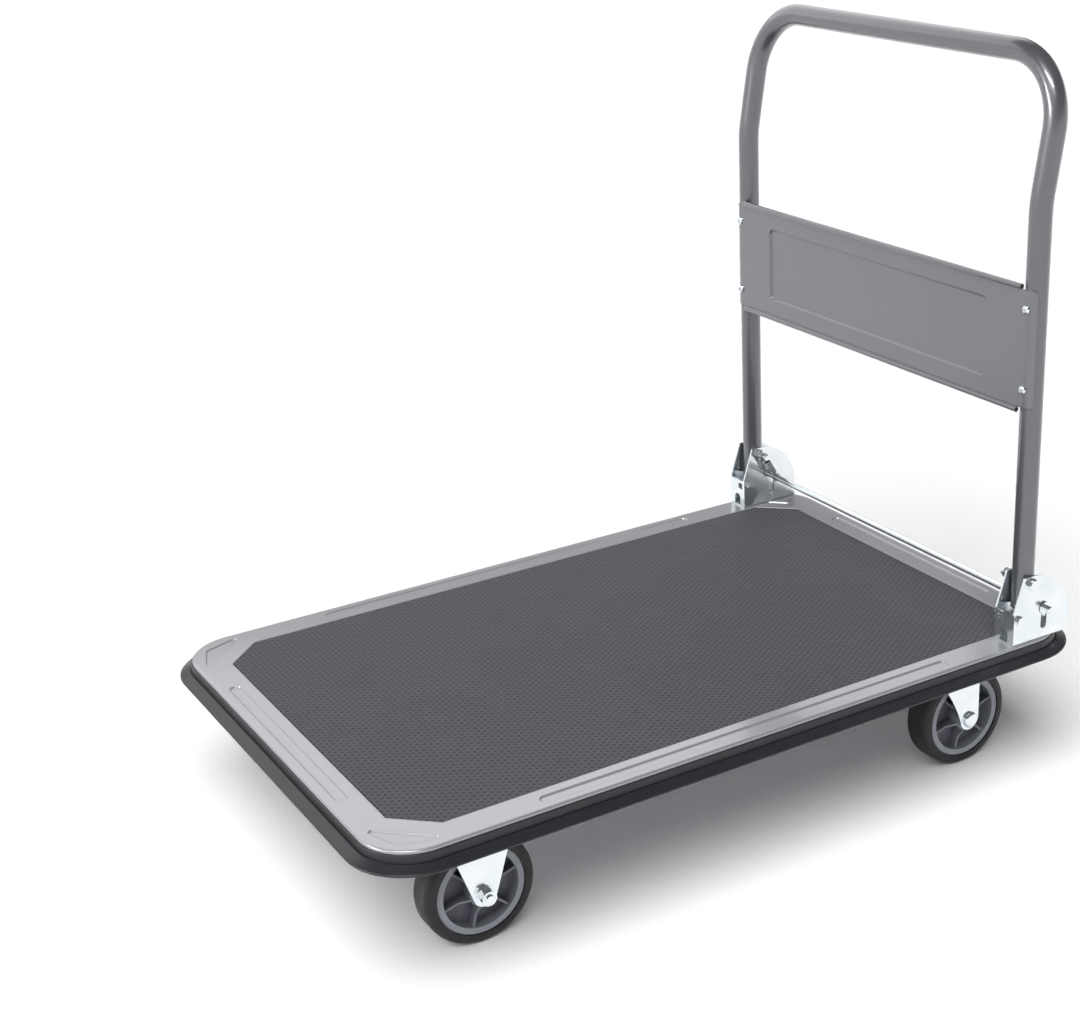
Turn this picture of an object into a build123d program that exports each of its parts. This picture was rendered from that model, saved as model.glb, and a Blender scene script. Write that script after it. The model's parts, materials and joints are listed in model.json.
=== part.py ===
from build123d import *
import os
from math import atan2, cos, degrees, hypot, radians, sin, sqrt, tan

os.makedirs("parts", exist_ok=True)

# Folding platform cart, in millimetres.
# The origin is on the floor under the middle of the deck. +X runs to the handle end, +Y to the left, +Z up.

# Deck pan
deck_length = 880.0
deck_width = 571.0
deck_corner = 57.0
deck_sheet = 1.5
skirt_depth = 28.0
rim_round = 3.0

# Mat and the recess that holds it
border_front = 39.0
border_side = 37.5
mat_chamfer_x = 41.5
mat_chamfer_y = 39.5
mat_thickness = 2.7
mat_gap = 0.4
recess_depth = 3.0
recess_taper = 12.0

# Sunk beads that stiffen the border
press_taper = 40.0
press_round = 0.5
bead_depth = 1.6
bead_width = 14.0
bead_shift = 1.5
front_bead_length = 306.0
side_bead_length = 524.0
corner_press_inset = 12.0
corner_press_offset = 24.0
corner_press_round = 4.0
rear_bead_offset = 19.0
rear_bead_length = 34.0
rear_bead_width = 8.0

# Bumper strip, measured outward from the skirt and down from the deck top
bumper_reach = 15.5
bumper_flange = 1.8
bumper_flange_drop = 3.2
bumper_flange_round = 1.2
bumper_groove = 2.4
bumper_groove_drop = 13.4
bumper_ridge = 3.6
bumper_ridge_drop = 12.3
bumper_ridge_round = 0.5
bumper_nose_drop = 17.4
bumper_nose_height = 2.0
bumper_nose_round = 1.5
bumper_foot = 8.0
bumper_foot_drop = 23.5

# Wheels
wheel_diameter = 125.0
tyre_width = 36.0
tyre_thickness = 11.9
tyre_shoulder = 8.0
rim_wall = 7.6
rim_width = 33.0
hub_web = 6.0
hub_boss_wall = 7.5
hub_rib_count = 6
hub_rib_thickness = 2.2
hub_rib_drop = 2.5
hub_rib_rise = 12.0
bush_radius = 8.0
axle_radius = 5.0
wheel_turn = 16.0

# Casters
caster_inset = 82.5
front_axle_setback = 129.0
kingpin_setback = 142.0
caster_trail = 36.0
crown_clearance = 16.0
fork_clearance = 5.0
fork_sheet = 3.0
fork_bend = 4.5
fork_foot_radius = 13.5
rigid_fork_top = 86.0
swivel_fork_reach = 60.0
swivel_crown_radius = 31.0
plate_length = 105.0
plate_width = 90.0
plate_thickness = 3.0
plate_corner = 8.0
plate_holes_x = 80.0
plate_holes_y = 71.0
race_height = 9.0
race_lip = 3.0
race_lip_gap = 1.2
bearing_ring_radius = 22.0
bearing_wire_radius = 2.5
kingpin_radius = 6.0
kingpin_head_radius = 10.0
kingpin_head_height = 8.0

# Channels and stiffeners under the deck
channel_height = 14.5
channel_sheet = 2.0
channel_web = 112.0
channel_flange = 14.0
channel_end = 5.0
stiffener_web = 40.0
stiffener_flange = 12.0
stiffener_spacing = 220.0
stiffener_end_gap = 2.0

# Handle, heights above the deck
tube_radius = 12.7
tube_wall = 1.5
leg_setback = 69.0
leg_inset = 17.0
handle_bend_height = 503.5
handle_top_height = 652.0
handle_lean = 10.0
handle_bend_radius = 140.0
handle_corner_radius = 76.0
plug_flange = 2.0
plug_stem = 10.0

# Panel between the legs, heights above the deck
panel_sheet = 1.0
panel_bottom = 275.0
panel_height = 144.0
panel_wrap = 57.0
panel_tab_corner = 5.0
roll_radius = 3.0
roll_wall = 0.9
roll_forward = 1.5
roll_end_gap = 7.5
field_length = 411.0
field_height = 92.0
field_depth = 2.5
field_corner = 7.0
screw_inset = 27.0
screw_radius = 2.2
screw_length = 8.0
screw_head_radius = 4.8
screw_head_height = 3.0
screw_cross = 1.2

# Hinge brackets, measured from their front edge and from the deck top
bracket_length = 84.0
bracket_height = 82.0
bracket_front_edge = 40.0
bracket_slant = 14.0
bracket_arc = 58.0
bracket_sheet = 2.5
bracket_bend = 2.4
pivot_setback = 25.5
pivot_height = 72.0
stop_setback = 8.0
stop_height = 31.5
rod_setback = 45.5
rod_height = 38.5
web_height = 38.0
web_window_width = 9.0
web_window_height = 8.0
web_arch_width = 13.0
web_arch_height = 15.0
front_bolt_setback = 16.0
rear_bolt_setback = 60.0

# Release rod and springs
rod_radius = 4.0
rod_travel = 22.0
rod_end = 11.0
clip_radius = 7.5
clip_thickness = 1.6
spring_radius = 3.6
spring_wire_radius = 0.8
spring_turns = 7
spring_end = 8.5

# Fasteners
pivot_bolt_radius = 4.0
stop_bolt_radius = 3.0
base_bolt_radius = 4.0
pivot_bolt_tail = 11.0
bolt_point = 2.0
axle_head_height = 5.5
axle_washer_radius = 10.5
axle_washer = 1.6

# Clearances
side_gap = 0.8
face_gap = 0.3
run_gap = 0.05
seat_gap = 0.02
hole_gap = 0.15
rod_gap = 0.35
tail_gap = 1.0
panel_gap = 0.1

# Heights worked out from the floor up
wheel_radius = wheel_diameter / 2
crown_underside = wheel_diameter + crown_clearance
crown_top = crown_underside + fork_sheet
plate_underside = crown_top + race_height
caster_height = plate_underside + plate_thickness
pan_underside = caster_height + channel_height
recess_floor = pan_underside + deck_sheet
deck_top = recess_floor + recess_depth
border_underside = deck_top - deck_sheet
skirt_bottom = deck_top - skirt_depth

# Other values worked out from the sizes above
half_deck_x = deck_length / 2
half_deck_y = deck_width / 2
half_mat_x = half_deck_x - border_front
half_mat_y = half_deck_y - border_side
rim_radius = wheel_radius - tyre_thickness
hub_boss_radius = bush_radius + hub_boss_wall
fork_half_gap = tyre_width / 2 + fork_clearance
fork_half = fork_half_gap + fork_sheet
caster_y = half_deck_y - caster_inset
front_axle_x = front_axle_setback - half_deck_x
kingpin_x = half_deck_x - kingpin_setback
leg_x = half_deck_x - leg_setback
leg_y = half_deck_y - leg_inset
leg_spacing = 2 * leg_y
bracket_x = leg_x - pivot_setback
pivot_z = deck_top + pivot_height
rod_x = bracket_x + rod_setback
rod_z = deck_top + rod_height
cheek_in = tube_radius + side_gap
cheek_out = cheek_in + bracket_sheet
rod_reach = hypot(rod_setback - pivot_setback, pivot_height - rod_height)
tail_length = sqrt((rod_reach - rod_radius - tail_gap) ** 2 - tube_radius**2)
stop_sleeve_radius = pivot_setback - tube_radius - stop_setback - face_gap


def save(piece, name):
    """Label a finished piece and write it as its own file."""
    piece.part.label = name
    export_step(piece.part, f"parts/{name}.step")


def place(template, name, *spots):
    """Write copies of a template, standing at the given spots, as one node."""
    with BuildPart() as copies:
        with Locations(*spots):
            add(template.part)
    save(copies, name)


def upright(y):
    """A plane across the cart at y, seen from the right: local x is X and local y is Z."""
    return Plane(origin=(0, y, 0), x_dir=(1, 0, 0), z_dir=(0, -1, 0))


def sideways(x, y, z, outward):
    """A spot whose local Z points to the left (outward 1) or to the right (outward -1)."""
    return Location((x, y, z), (-90 * outward, 0, 0))


def hanging(x, y, z):
    """A spot whose local Z points down."""
    return Location((x, y, z), (180, 0, 0))


# Deck pan: a drawn sheet with the mat recess, the beads and the corner pressings pushed down
inner_length = deck_length - 2 * deck_sheet
inner_width = deck_width - 2 * deck_sheet
front_border = half_deck_x - border_front / 2 + bead_shift
side_border = half_deck_y - border_side / 2 + bead_shift
chamfer_angle = degrees(atan2(mat_chamfer_y, mat_chamfer_x))
chamfer_mid = Vector(half_mat_x - mat_chamfer_x / 2, half_mat_y - mat_chamfer_y / 2)
chamfer_out = Vector(mat_chamfer_y, mat_chamfer_x).normalized()
press_x = half_deck_x - corner_press_inset - corner_press_round
press_y = half_deck_y - corner_press_inset - corner_press_round
press_mid = chamfer_mid + chamfer_out * (corner_press_offset + corner_press_round)
press_slope = mat_chamfer_y / mat_chamfer_x
press_low = press_mid.Y - press_slope * (press_x - press_mid.X)
press_near = press_mid.X - (press_y - press_mid.Y) / press_slope
press_round_x = half_deck_x - deck_corner
press_round_y = half_deck_y - deck_corner
press_reach = (deck_corner - corner_press_inset - corner_press_round) / sqrt(2)
rear_bead_mid = chamfer_mid + chamfer_out * rear_bead_offset
mat_points = [
    (half_mat_x, half_mat_y - mat_chamfer_y),
    (half_mat_x - mat_chamfer_x, half_mat_y),
    (mat_chamfer_x - half_mat_x, half_mat_y),
    (-half_mat_x, half_mat_y - mat_chamfer_y),
    (-half_mat_x, mat_chamfer_y - half_mat_y),
    (mat_chamfer_x - half_mat_x, -half_mat_y),
    (half_mat_x - mat_chamfer_x, -half_mat_y),
    (half_mat_x, mat_chamfer_y - half_mat_y),
]


def draw_recess():
    """The mat's outline, wider by its gap and by the lean of the recess wall."""
    Polygon(*mat_points, align=None)
    offset(amount=mat_gap + recess_depth * tan(radians(recess_taper)), kind=Kind.INTERSECTION)


def draw_beads():
    """The long beads in the border and the short ones beside the brackets."""
    with Locations((-front_border, 0), (front_border, 0)):
        SlotOverall(front_bead_length, bead_width, rotation=90)
    with Locations((0, -side_border), (0, side_border)):
        SlotOverall(side_bead_length, bead_width)
    for side in (1, -1):
        with Locations((rear_bead_mid.X, side * rear_bead_mid.Y)):
            SlotOverall(rear_bead_length, rear_bead_width, rotation=-side * chamfer_angle)


def draw_corner(side):
    """The three-cornered pressing at a front corner, with its outer corner rounded like the deck's."""
    spots = [(press_x, press_low), (press_near, press_y)]
    spots.append((press_round_x + press_reach, press_round_y + press_reach))
    with Locations(*[(-x, side * y) for x, y in spots]):
        Circle(corner_press_round)
    make_hull()


def draw_left_corner():
    draw_corner(1)


def draw_right_corner():
    draw_corner(-1)


pressings = [
    (draw_beads, bead_depth, press_taper, press_round),
    (draw_left_corner, bead_depth, press_taper, 0),
    (draw_right_corner, bead_depth, press_taper, 0),
    (draw_recess, recess_depth, recess_taper, 0),
]
bracket_bolt_spots = [
    (bracket_x + setback, side * leg_y)
    for side in (1, -1)
    for setback in (front_bolt_setback, rear_bolt_setback)
]

with BuildPart() as deck_pan:
    with BuildSketch(Plane.XY.offset(skirt_bottom)):
        RectangleRounded(deck_length, deck_width, deck_corner)
    extrude(amount=skirt_depth)
    with BuildSketch(Plane.XY.offset(skirt_bottom)):
        RectangleRounded(inner_length, inner_width, deck_corner - deck_sheet)
    extrude(amount=skirt_depth - deck_sheet, mode=Mode.SUBTRACT)
    inner_rim = deck_pan.edges().filter_by_position(Axis.Z, border_underside - 0.01, border_underside + 0.01)
    fillet(inner_rim, rim_round - deck_sheet)
    for draw, depth, taper, edge_round in pressings:
        with BuildSketch(Plane.XY.offset(border_underside)):
            draw()
            offset(amount=deck_sheet, kind=Kind.INTERSECTION)
        extrude(amount=-depth, taper=taper)
        with BuildSketch(Plane.XY.offset(deck_top)):
            draw()
        extrude(amount=-depth, taper=taper, mode=Mode.SUBTRACT)
        if edge_round:
            border = deck_pan.faces().filter_by(Plane.XY).sort_by(Axis.Z)[-1]
            fillet([edge for wire in border.inner_wires() for edge in wire.edges()], edge_round)
    border = deck_pan.faces().filter_by(Plane.XY).sort_by(Axis.Z)[-1]
    fillet(border.outer_wire().edges(), rim_round)
    with BuildSketch(Plane.XY.offset(deck_top)):
        with Locations(*bracket_bolt_spots):
            Circle(base_bolt_radius + hole_gap)
    extrude(amount=-2 * deck_sheet, mode=Mode.SUBTRACT)
save(deck_pan, "deck_pan")

# Mat lying in the recess
with BuildPart() as deck_mat:
    with BuildSketch(Plane.XY.offset(recess_floor)):
        Polygon(*mat_points, align=None)
    extrude(amount=mat_thickness)
save(deck_mat, "deck_mat")

# Bumper strip: a flange up to the rim, a groove, and a sloping lobe round the foot of the skirt
bumper_nose_end = bumper_nose_drop + bumper_nose_height
bumper_points = [
    (seat_gap, bumper_flange_drop),
    (bumper_flange, bumper_flange_drop),
    (bumper_groove, bumper_groove_drop),
    (bumper_ridge, bumper_ridge_drop),
    (bumper_reach, bumper_nose_drop),
    (bumper_reach, bumper_nose_end),
    (bumper_foot, bumper_foot_drop),
    (seat_gap, bumper_foot_drop),
]
bumper_plane = Plane(origin=(0, -half_deck_y, deck_top), x_dir=(0, -1, 0), z_dir=(1, 0, 0))
with BuildLine(Plane.XY.offset(deck_top)) as skirt_line:
    FilletPolyline(
        (0, -half_deck_y),
        (half_deck_x, -half_deck_y),
        (half_deck_x, half_deck_y),
        (0, half_deck_y),
        radius=deck_corner,
    )

with BuildPart() as bumper:
    with BuildSketch(bumper_plane) as bumper_section:
        Polygon(*bumper_points, align=None)
        fillet(bumper_section.vertices().sort_by_distance(bumper_points[1])[0], bumper_flange_round)
        fillet(bumper_section.vertices().sort_by_distance(bumper_points[3])[0], bumper_ridge_round)
        fillet(bumper_section.vertices().group_by(Axis.X)[-1], bumper_nose_round)
    sweep(path=skirt_line.line)
    mirror(about=Plane.YZ)
save(bumper, "bumper")

# Channels that carry the casters, and stiffeners between them
channel_half = caster_y + plate_width / 2 + channel_end


def draw_hat(web, flange):
    """A hat section hanging from the pan, centred on the sketch's x."""
    low = pan_underside - channel_height
    with Locations((0, low + channel_height / 2)):
        Rectangle(web, channel_height)
    with Locations((0, low + channel_sheet + channel_height / 2)):
        Rectangle(web - 2 * channel_sheet, channel_height, mode=Mode.SUBTRACT)
    with Locations((0, pan_underside - channel_sheet / 2)):
        with GridLocations(web + flange, 0, 2, 1):
            Rectangle(flange, channel_sheet)


plate_bolt_spots = [
    (x, y)
    for x in (-plate_holes_x / 2, plate_holes_x / 2)
    for y in (-plate_holes_y / 2, plate_holes_y / 2)
]

with BuildPart() as caster_channel:
    with BuildSketch(Plane.XZ):
        draw_hat(channel_web, channel_flange)
    extrude(amount=channel_half, both=True)
    with BuildSketch(Plane.XY.offset(caster_height)):
        with Locations((0, caster_y), (0, -caster_y)):
            with Locations(*plate_bolt_spots):
                Circle(base_bolt_radius + hole_gap)
    extrude(amount=channel_sheet, mode=Mode.SUBTRACT)
place(caster_channel, "front_caster_channel", (front_axle_x, 0, 0))
place(caster_channel, "rear_caster_channel", (kingpin_x, 0, 0))

channel_side = channel_web / 2 + channel_flange + stiffener_end_gap
stiffener_front = front_axle_x + channel_side
stiffener_length = kingpin_x - channel_side - stiffener_front

with BuildPart() as stiffener:
    with BuildSketch(Plane.YZ.offset(stiffener_front)):
        draw_hat(stiffener_web, stiffener_flange)
    extrude(amount=stiffener_length)
place(stiffener, "deck_stiffeners", (0, stiffener_spacing / 2, 0), (0, -stiffener_spacing / 2, 0))


# Hexagon bolts and nuts, built standing on their seat with the shank down
def hex_bolt(radius, length):
    """A bolt whose head and flats follow its shank."""
    with BuildPart() as bolt:
        with BuildSketch():
            RegularPolygon(1.625 * radius, 6, major_radius=False)
        extrude(amount=1.3 * radius)
        with BuildSketch():
            Circle(1.85 * radius)
        extrude(amount=1.3 * radius, taper=6, mode=Mode.INTERSECT)
        with BuildSketch():
            Circle(radius)
        extrude(amount=-length)
        chamfer(bolt.faces().sort_by(Axis.Z)[0].edges(), radius / 6)
    return bolt


def hex_nut(radius, washer_radius=0, washer=0):
    """A nut on its seat, with a washer under it where one is given."""
    with BuildPart() as nut:
        with BuildSketch(Plane.XY.offset(washer)):
            RegularPolygon(1.625 * radius, 6, major_radius=False)
        extrude(amount=1.6 * radius)
        with BuildSketch(Plane.XY.offset(washer)):
            Circle(1.85 * radius)
        extrude(amount=1.6 * radius, taper=6, mode=Mode.INTERSECT)
        if washer:
            with BuildSketch():
                Circle(washer_radius)
            extrude(amount=washer)
        with BuildSketch():
            Circle(radius + seat_gap)
        extrude(amount=washer + 1.6 * radius, mode=Mode.SUBTRACT)
    return nut


# Rigid forks at the front, built round the spot on the floor under the axle
with BuildPart() as rigid_fork:
    with BuildSketch(Plane.YZ):
        with Locations((0, plate_underside / 2)):
            Rectangle(2 * fork_half, plate_underside)
        with Locations((0, (plate_underside - fork_sheet) / 2)):
            Rectangle(2 * fork_half_gap, plate_underside - fork_sheet, mode=Mode.SUBTRACT)
    extrude(amount=rigid_fork_top / 2, both=True)
    fillet(rigid_fork.faces().sort_by(Axis.Z)[-1].edges().filter_by(Axis.X), fork_bend)
    with BuildSketch(Plane.XZ):
        with Locations((0, wheel_radius)):
            Circle(fork_foot_radius)
        with Locations((0, plate_underside - fork_sheet / 2)):
            Rectangle(rigid_fork_top, fork_sheet)
        make_hull()
    extrude(amount=fork_half, both=True, mode=Mode.INTERSECT)
    with BuildSketch(Plane.XY.offset(plate_underside)):
        RectangleRounded(plate_length, plate_width, plate_corner)
        with Locations(*plate_bolt_spots):
            Circle(base_bolt_radius + hole_gap, mode=Mode.SUBTRACT)
    extrude(amount=plate_thickness)
    with BuildSketch(Plane.XZ):
        with Locations((0, wheel_radius)):
            Circle(axle_radius + hole_gap)
    extrude(amount=fork_half, both=True, mode=Mode.SUBTRACT)
place(rigid_fork, "front_left_fork", (front_axle_x, caster_y, 0))
place(rigid_fork, "front_right_fork", (front_axle_x, -caster_y, 0))

# Swivel forks, built round the kingpin
foot_front = caster_trail - fork_foot_radius
foot_back = caster_trail + fork_foot_radius
leg_front = caster_trail - swivel_fork_reach

with BuildPart() as swivel_fork:
    with BuildSketch(Plane.YZ):
        with Locations((0, crown_top / 2)):
            Rectangle(2 * fork_half, crown_top)
        with Locations((0, crown_underside / 2)):
            Rectangle(2 * fork_half_gap, crown_underside, mode=Mode.SUBTRACT)
    extrude(amount=foot_back + swivel_crown_radius, both=True)
    fillet(swivel_fork.faces().sort_by(Axis.Z)[-1].edges().filter_by(Axis.X), fork_bend)
    with BuildSketch(Plane.XZ):
        with BuildLine():
            ThreePointArc(
                (foot_front, wheel_radius),
                (caster_trail, wheel_radius - fork_foot_radius),
                (foot_back, wheel_radius),
            )
            Polyline(
                (foot_back, wheel_radius),
                (foot_back, crown_top),
                (leg_front, crown_top),
                (leg_front, crown_underside),
            )
            ThreePointArc(
                (leg_front, crown_underside),
                (foot_front - 10.5, wheel_radius + 0.32 * (crown_underside - wheel_radius)),
                (foot_front, wheel_radius),
            )
        make_face()
    extrude(amount=fork_half, both=True, mode=Mode.INTERSECT)
    with BuildSketch(Plane.XY.offset(crown_underside)):
        Circle(swivel_crown_radius)
    extrude(amount=fork_sheet)
    with BuildSketch(Plane.XY.offset(crown_underside)):
        Circle(kingpin_radius + run_gap)
    extrude(amount=fork_sheet, mode=Mode.SUBTRACT)
    with BuildSketch(Plane.XZ):
        with Locations((caster_trail, wheel_radius)):
            Circle(axle_radius + hole_gap)
    extrude(amount=fork_half, both=True, mode=Mode.SUBTRACT)
place(swivel_fork, "rear_left_fork", (kingpin_x, caster_y, 0))
place(swivel_fork, "rear_right_fork", (kingpin_x, -caster_y, 0))

# Swivel head: plate, race, bearing ring and kingpin
kingpin_spots = [(kingpin_x, caster_y, 0), (kingpin_x, -caster_y, 0)]

with BuildPart() as swivel_plate:
    with BuildSketch(Plane.XY.offset(plate_underside)):
        RectangleRounded(plate_length, plate_width, plate_corner)
        with Locations(*plate_bolt_spots):
            Circle(base_bolt_radius + hole_gap, mode=Mode.SUBTRACT)
        Circle(kingpin_radius + seat_gap, mode=Mode.SUBTRACT)
    extrude(amount=plate_thickness)
place(swivel_plate, "swivel_plates", *kingpin_spots)

race_underside = crown_top + 2 * bearing_wire_radius + face_gap
race_edge = crown_top + race_lip_gap

with BuildPart() as swivel_race:
    with BuildSketch(Plane.XZ):
        with BuildLine():
            Polyline(
                (kingpin_radius + seat_gap, plate_underside),
                (swivel_crown_radius, plate_underside),
                (swivel_crown_radius, race_edge),
                (swivel_crown_radius - race_lip, race_edge),
                (swivel_crown_radius - race_lip, race_underside),
                (kingpin_radius + seat_gap, race_underside),
                close=True,
            )
        make_face()
    revolve(axis=Axis.Z)
place(swivel_race, "swivel_races", *kingpin_spots)

with BuildPart() as bearing_ring:
    with BuildSketch(Plane.XZ):
        with Locations((bearing_ring_radius, crown_top + bearing_wire_radius)):
            Circle(bearing_wire_radius)
    revolve(axis=Axis.Z)
place(bearing_ring, "rear_left_bearing_ring", (kingpin_x, caster_y, 0))
place(bearing_ring, "rear_right_bearing_ring", (kingpin_x, -caster_y, 0))

with BuildPart() as kingpin:
    with BuildSketch(Plane.XY.offset(caster_height)):
        Circle(kingpin_radius)
    extrude(amount=crown_underside - face_gap - caster_height)
    with BuildSketch(Plane.XY.offset(crown_underside - face_gap)):
        Circle(kingpin_head_radius)
    extrude(amount=-kingpin_head_height)
    chamfer(kingpin.faces().sort_by(Axis.Z)[0].edges(), 1.5)
place(kingpin, "kingpins", *kingpin_spots)

# Wheels, built lying flat round their axle
hub_face = fork_half_gap - face_gap - 1.0
bush_half = fork_half_gap - face_gap
rib_level = rim_width / 2 - hub_rib_drop
rib_foot = hub_boss_radius + hub_rib_rise

with BuildPart() as tyre:
    with BuildSketch(Plane.XZ) as tyre_section:
        with Locations((wheel_radius - tyre_thickness / 2, 0)):
            Rectangle(tyre_thickness, tyre_width)
        fillet(tyre_section.vertices().group_by(Axis.X)[-1], tyre_shoulder)
    revolve(axis=Axis.Z)

with BuildPart() as hub:
    with BuildSketch(Plane.XZ):
        with Locations((rim_radius - seat_gap - rim_wall / 2, 0)):
            Rectangle(rim_wall, rim_width)
        with Locations((rim_radius / 2, 0)):
            Rectangle(rim_radius - rim_wall, hub_web)
        with Locations((hub_boss_radius / 2, 0)):
            Rectangle(hub_boss_radius, 2 * hub_face)
    revolve(axis=Axis.Z)
    for turn in range(hub_rib_count):
        angle = radians(wheel_turn + 360.0 * turn / hub_rib_count)
        along_rib = (cos(angle), sin(angle), 0)
        across_rib = (sin(angle), -cos(angle), 0)
        with BuildSketch(Plane(origin=(0, 0, 0), x_dir=along_rib, z_dir=across_rib)):
            Polygon(
                (0, hub_face),
                (hub_boss_radius, hub_face - 0.5),
                (rib_foot, rib_level),
                (rim_radius - rim_wall, rib_level),
                (rim_radius - rim_wall, -rib_level),
                (rib_foot, -rib_level),
                (hub_boss_radius, 0.5 - hub_face),
                (0, -hub_face),
                align=None,
            )
        extrude(amount=hub_rib_thickness / 2, both=True)
    with BuildSketch(Plane.XY.offset(-hub_face)):
        Circle(bush_radius + seat_gap)
    extrude(amount=2 * hub_face, mode=Mode.SUBTRACT)
    chamfer(hub.edges().filter_by(GeomType.CIRCLE).group_by(SortBy.RADIUS)[-1], 0.8)

with BuildPart() as wheel_bush:
    with BuildSketch(Plane.XY.offset(-bush_half)):
        Circle(bush_radius)
        Circle(axle_radius + run_gap, mode=Mode.SUBTRACT)
    extrude(amount=2 * bush_half)

rear_axle_x = kingpin_x + caster_trail
wheel_corners = [
    ("front_left", front_axle_x, 1),
    ("front_right", front_axle_x, -1),
    ("rear_left", rear_axle_x, 1),
    ("rear_right", rear_axle_x, -1),
]
for corner, x, side in wheel_corners:
    spot = sideways(x, side * caster_y, wheel_radius, side)
    place(tyre, f"{corner}_tyre", spot)
    place(hub, f"{corner}_hub", spot)
    place(wheel_bush, f"{corner}_wheel_bush", spot)

# Axles: hexagon heads at the front, round heads at the back, nuts on a washer
axle_grip = 2 * fork_half
axle_nut_height = axle_washer + 1.6 * axle_radius
axle_length = axle_grip + axle_nut_height + bolt_point
front_axle = hex_bolt(axle_radius, axle_length)
axle_nut = hex_nut(axle_radius, axle_washer_radius, axle_washer)

with BuildPart() as rear_axle:
    with BuildSketch(Plane.XZ) as axle_section:
        with Locations((axle_radius, axle_head_height / 2)):
            Rectangle(2 * axle_radius, axle_head_height)
        fillet(axle_section.vertices().group_by(Axis.X)[-1].sort_by(Axis.Y)[-1], axle_head_height - 1.0)
    revolve(axis=Axis.Z)
    with BuildSketch():
        Circle(axle_radius)
    extrude(amount=-axle_length)
    chamfer(rear_axle.faces().sort_by(Axis.Z)[0].edges(), 0.8)

front_axle_spots = []
front_nut_spots = []
for corner, side in (("left", 1), ("right", -1)):
    inner = side * (caster_y - fork_half)
    outer = side * (caster_y + fork_half)
    front_axle_spots.append(sideways(front_axle_x, inner, wheel_radius, -side))
    front_nut_spots.append(sideways(front_axle_x, outer, wheel_radius, side))
    place(rear_axle, f"rear_{corner}_axle", sideways(rear_axle_x, outer, wheel_radius, side))
    place(axle_nut, f"rear_{corner}_axle_nut", sideways(rear_axle_x, inner, wheel_radius, -side))
place(front_axle, "front_axles", *front_axle_spots)
place(axle_nut, "front_axle_nuts", *front_nut_spots)

# Caster bolts, heads under the plates and nuts inside the channels
caster_grip = plate_thickness + channel_sheet
caster_bolt = hex_bolt(base_bolt_radius, caster_grip + 1.6 * base_bolt_radius + bolt_point)
base_nut = hex_nut(base_bolt_radius)
caster_bolt_spots = [
    (x + dx, y + dy)
    for x in (front_axle_x, kingpin_x)
    for y in (caster_y, -caster_y)
    for dx, dy in plate_bolt_spots
]
place(caster_bolt, "caster_bolts", *[hanging(x, y, plate_underside) for x, y in caster_bolt_spots])
place(base_nut, "caster_nuts", *[(x, y, caster_height + channel_sheet) for x, y in caster_bolt_spots])

# Hinge brackets: two cheeks, a base and a low front web in one folded sheet
with BuildPart() as left_bracket:
    for y in (leg_y + cheek_out, leg_y - cheek_in):
        with BuildSketch(upright(y)):
            with BuildLine():
                cheek_edge = Polyline(
                    (bracket_x, deck_top),
                    (bracket_x, deck_top + bracket_front_edge),
                    (bracket_x + bracket_slant, deck_top + bracket_height),
                    (bracket_x + bracket_length - bracket_arc, deck_top + bracket_height),
                )
                cheek_arc = JernArc(cheek_edge @ 1, (1, 0), bracket_arc, -90)
                Polyline(cheek_arc @ 1, (bracket_x + bracket_length, deck_top), (bracket_x, deck_top))
            make_face()
        extrude(amount=bracket_sheet)
    with BuildSketch(Plane.XY.offset(deck_top)):
        with Locations((bracket_x + bracket_length / 2, leg_y)):
            Rectangle(bracket_length, 2 * cheek_out)
    extrude(amount=bracket_sheet)
    with BuildSketch(Plane.YZ.offset(bracket_x)):
        with Locations((leg_y, deck_top + web_height / 2)):
            Rectangle(2 * cheek_out, web_height)
    extrude(amount=bracket_sheet)
    base_face = left_bracket.faces().sort_by(Axis.Z)[0]
    fillet(base_face.edges().filter_by(Axis.X), bracket_bend)
    with BuildSketch(Plane.YZ.offset(bracket_x)):
        with Locations((leg_y - cheek_in / 2, deck_top + web_height - web_window_height)):
            Rectangle(web_window_width, web_window_height)
        with Locations((leg_y, deck_top + bracket_sheet + (web_arch_height - web_arch_width / 2) / 2)):
            Rectangle(web_arch_width, web_arch_height - web_arch_width / 2)
        with Locations((leg_y, deck_top + bracket_sheet + web_arch_height - web_arch_width / 2)):
            Circle(web_arch_width / 2)
    extrude(amount=bracket_sheet, mode=Mode.SUBTRACT)
    with BuildSketch(upright(leg_y + cheek_out)):
        with Locations((leg_x, pivot_z)):
            Circle(pivot_bolt_radius + hole_gap)
        with Locations((bracket_x + stop_setback, deck_top + stop_height)):
            Circle(stop_bolt_radius + hole_gap)
        with Locations((rod_x, rod_z - rod_travel / 2)):
            SlotCenterToCenter(rod_travel, 2 * (rod_radius + rod_gap), rotation=90)
    extrude(amount=2 * cheek_out, mode=Mode.SUBTRACT)
    with BuildSketch(Plane.XY.offset(deck_top)):
        with Locations(*bracket_bolt_spots):
            Circle(base_bolt_radius + hole_gap)
    extrude(amount=bracket_sheet, mode=Mode.SUBTRACT)
save(left_bracket, "left_hinge_bracket")

with BuildPart() as right_bracket:
    mirror(left_bracket.part, about=Plane.XZ)
save(right_bracket, "right_hinge_bracket")

base_bolt = hex_bolt(base_bolt_radius, bracket_sheet + deck_sheet + 1.6 * base_bolt_radius + bolt_point)
place(base_bolt, "bracket_bolts", *[(x, y, deck_top + bracket_sheet) for x, y in bracket_bolt_spots])
place(base_nut, "bracket_nuts", *[hanging(x, y, border_underside) for x, y in bracket_bolt_spots])

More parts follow.
